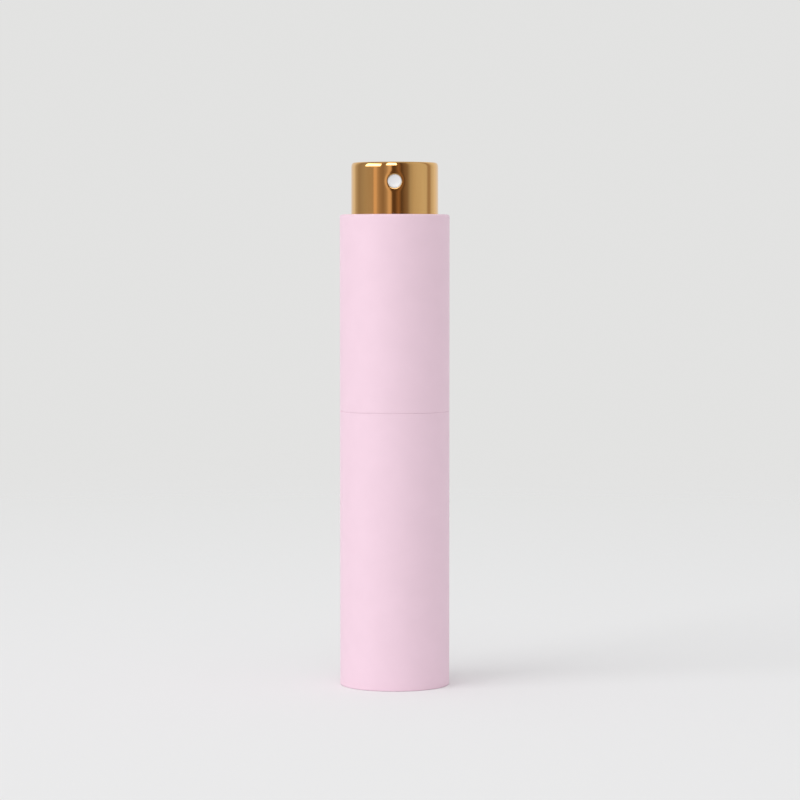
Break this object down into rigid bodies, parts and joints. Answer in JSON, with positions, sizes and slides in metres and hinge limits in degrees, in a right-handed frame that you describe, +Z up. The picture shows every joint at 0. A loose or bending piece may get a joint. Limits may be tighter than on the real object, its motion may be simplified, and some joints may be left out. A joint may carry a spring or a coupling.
{
  "type": "perfume atomiser",
  "caption": "Slim cylindrical twist-up perfume atomiser: two butt-jointed shells, a raised metal spray head, and a refillable glass vial with a pump inside.",
  "frame": {"origin": "centre of the flat base, on the surface it stands on", "axes": "+Z up along the body, -Y the way the nozzle sprays, spray head raised"},
  "size_m": [0.02, 0.02, 0.0954],
  "materials": {
    "pink_lacquer": "fine matt lacquer on drawn aluminium",
    "gold": "polished, gold anodised aluminium",
    "white_plastic": "moulded white polypropylene",
    "natural_plastic": "moulded natural polyethylene, slightly translucent",
    "silicone": "soft matt silicone",
    "clear_glass": "clear tubular glass",
    "spring_steel": "bright stainless steel"
  },
  "bodies": {
    "base": {"lower_sleeve": "pink_lacquer", "guide_tube": "natural_plastic", "friction_ring": "silicone"},
    "upper": {"upper_sleeve": "pink_lacquer", "spiral_sleeve": "natural_plastic"},
    "lift_cup": {"carrier": "natural_plastic", "vial_pad": "silicone"},
    "vial": {"glass_vial": "clear_glass"},
    "pump": {"pump_housing": "natural_plastic", "pump_retainer": "white_plastic", "stem_seal": "silicone", "neck_gasket": "silicone", "dip_tube": "natural_plastic", "return_spring": "spring_steel"},
    "collar": {"screw_collar": "white_plastic"},
    "ball": {"check_ball": "spring_steel"},
    "stem": {"pump_stem": "white_plastic"},
    "piston": {"pump_piston": "natural_plastic"},
    "head": {"spray_actuator": "white_plastic", "head_shell": "gold", "nozzle_insert": "white_plastic"}
  },
  "joints": [
    {"name": "twist", "type": "hinge", "parent": "base", "child": "upper", "pos_m": [0, 0, 0.0503], "axis": [0, 0, 1], "range_deg": [-180, 0]},
    {"name": "head_lift", "type": "slide", "parent": "base", "child": "lift_cup", "axis": [0, 0, 1], "range_m": [-0.0094, 0]},
    {"name": "vial_pull_out", "type": "slide", "parent": "lift_cup", "child": "vial", "axis": [0, 0, 1], "range_m": [0, 0.08]},
    {"name": "pump_unscrew_rise", "type": "slide", "parent": "vial", "child": "pump", "axis": [0, 0, 1], "range_m": [0, 0.00225]},
    {"name": "collar_turn", "type": "hinge", "parent": "pump", "child": "collar", "pos_m": [0, 0, 0.078], "axis": [0, 0, 1], "range_deg": [0, 540]},
    {"name": "button_press", "type": "slide", "parent": "pump", "child": "stem", "axis": [0, 0, 1], "range_m": [-0.0035, 0], "stiffness_N_per_m": 2200, "springref_m": 0.0018, "deforming": ["return_spring"]},
    {"name": "head_turn", "type": "hinge", "parent": "stem", "child": "head", "pos_m": [0, 0, 0.09], "axis": [0, 0, 1], "continuous": true},
    {"name": "piston_slip", "type": "slide", "parent": "stem", "child": "piston", "axis": [0, 0, 1], "range_m": [0, 0.0004]},
    {"name": "ball_rise", "type": "slide", "parent": "pump", "child": "ball", "axis": [0, 0, 1], "range_m": [0, 0.0008]}
  ],
  "couplings": [
    {"joint": "head_lift", "follows": "twist", "m_per_rad": 0.0029921},
    {"joint": "collar_turn", "follows": "pump_unscrew_rise", "rad_per_m": 4188.8}
  ]
}
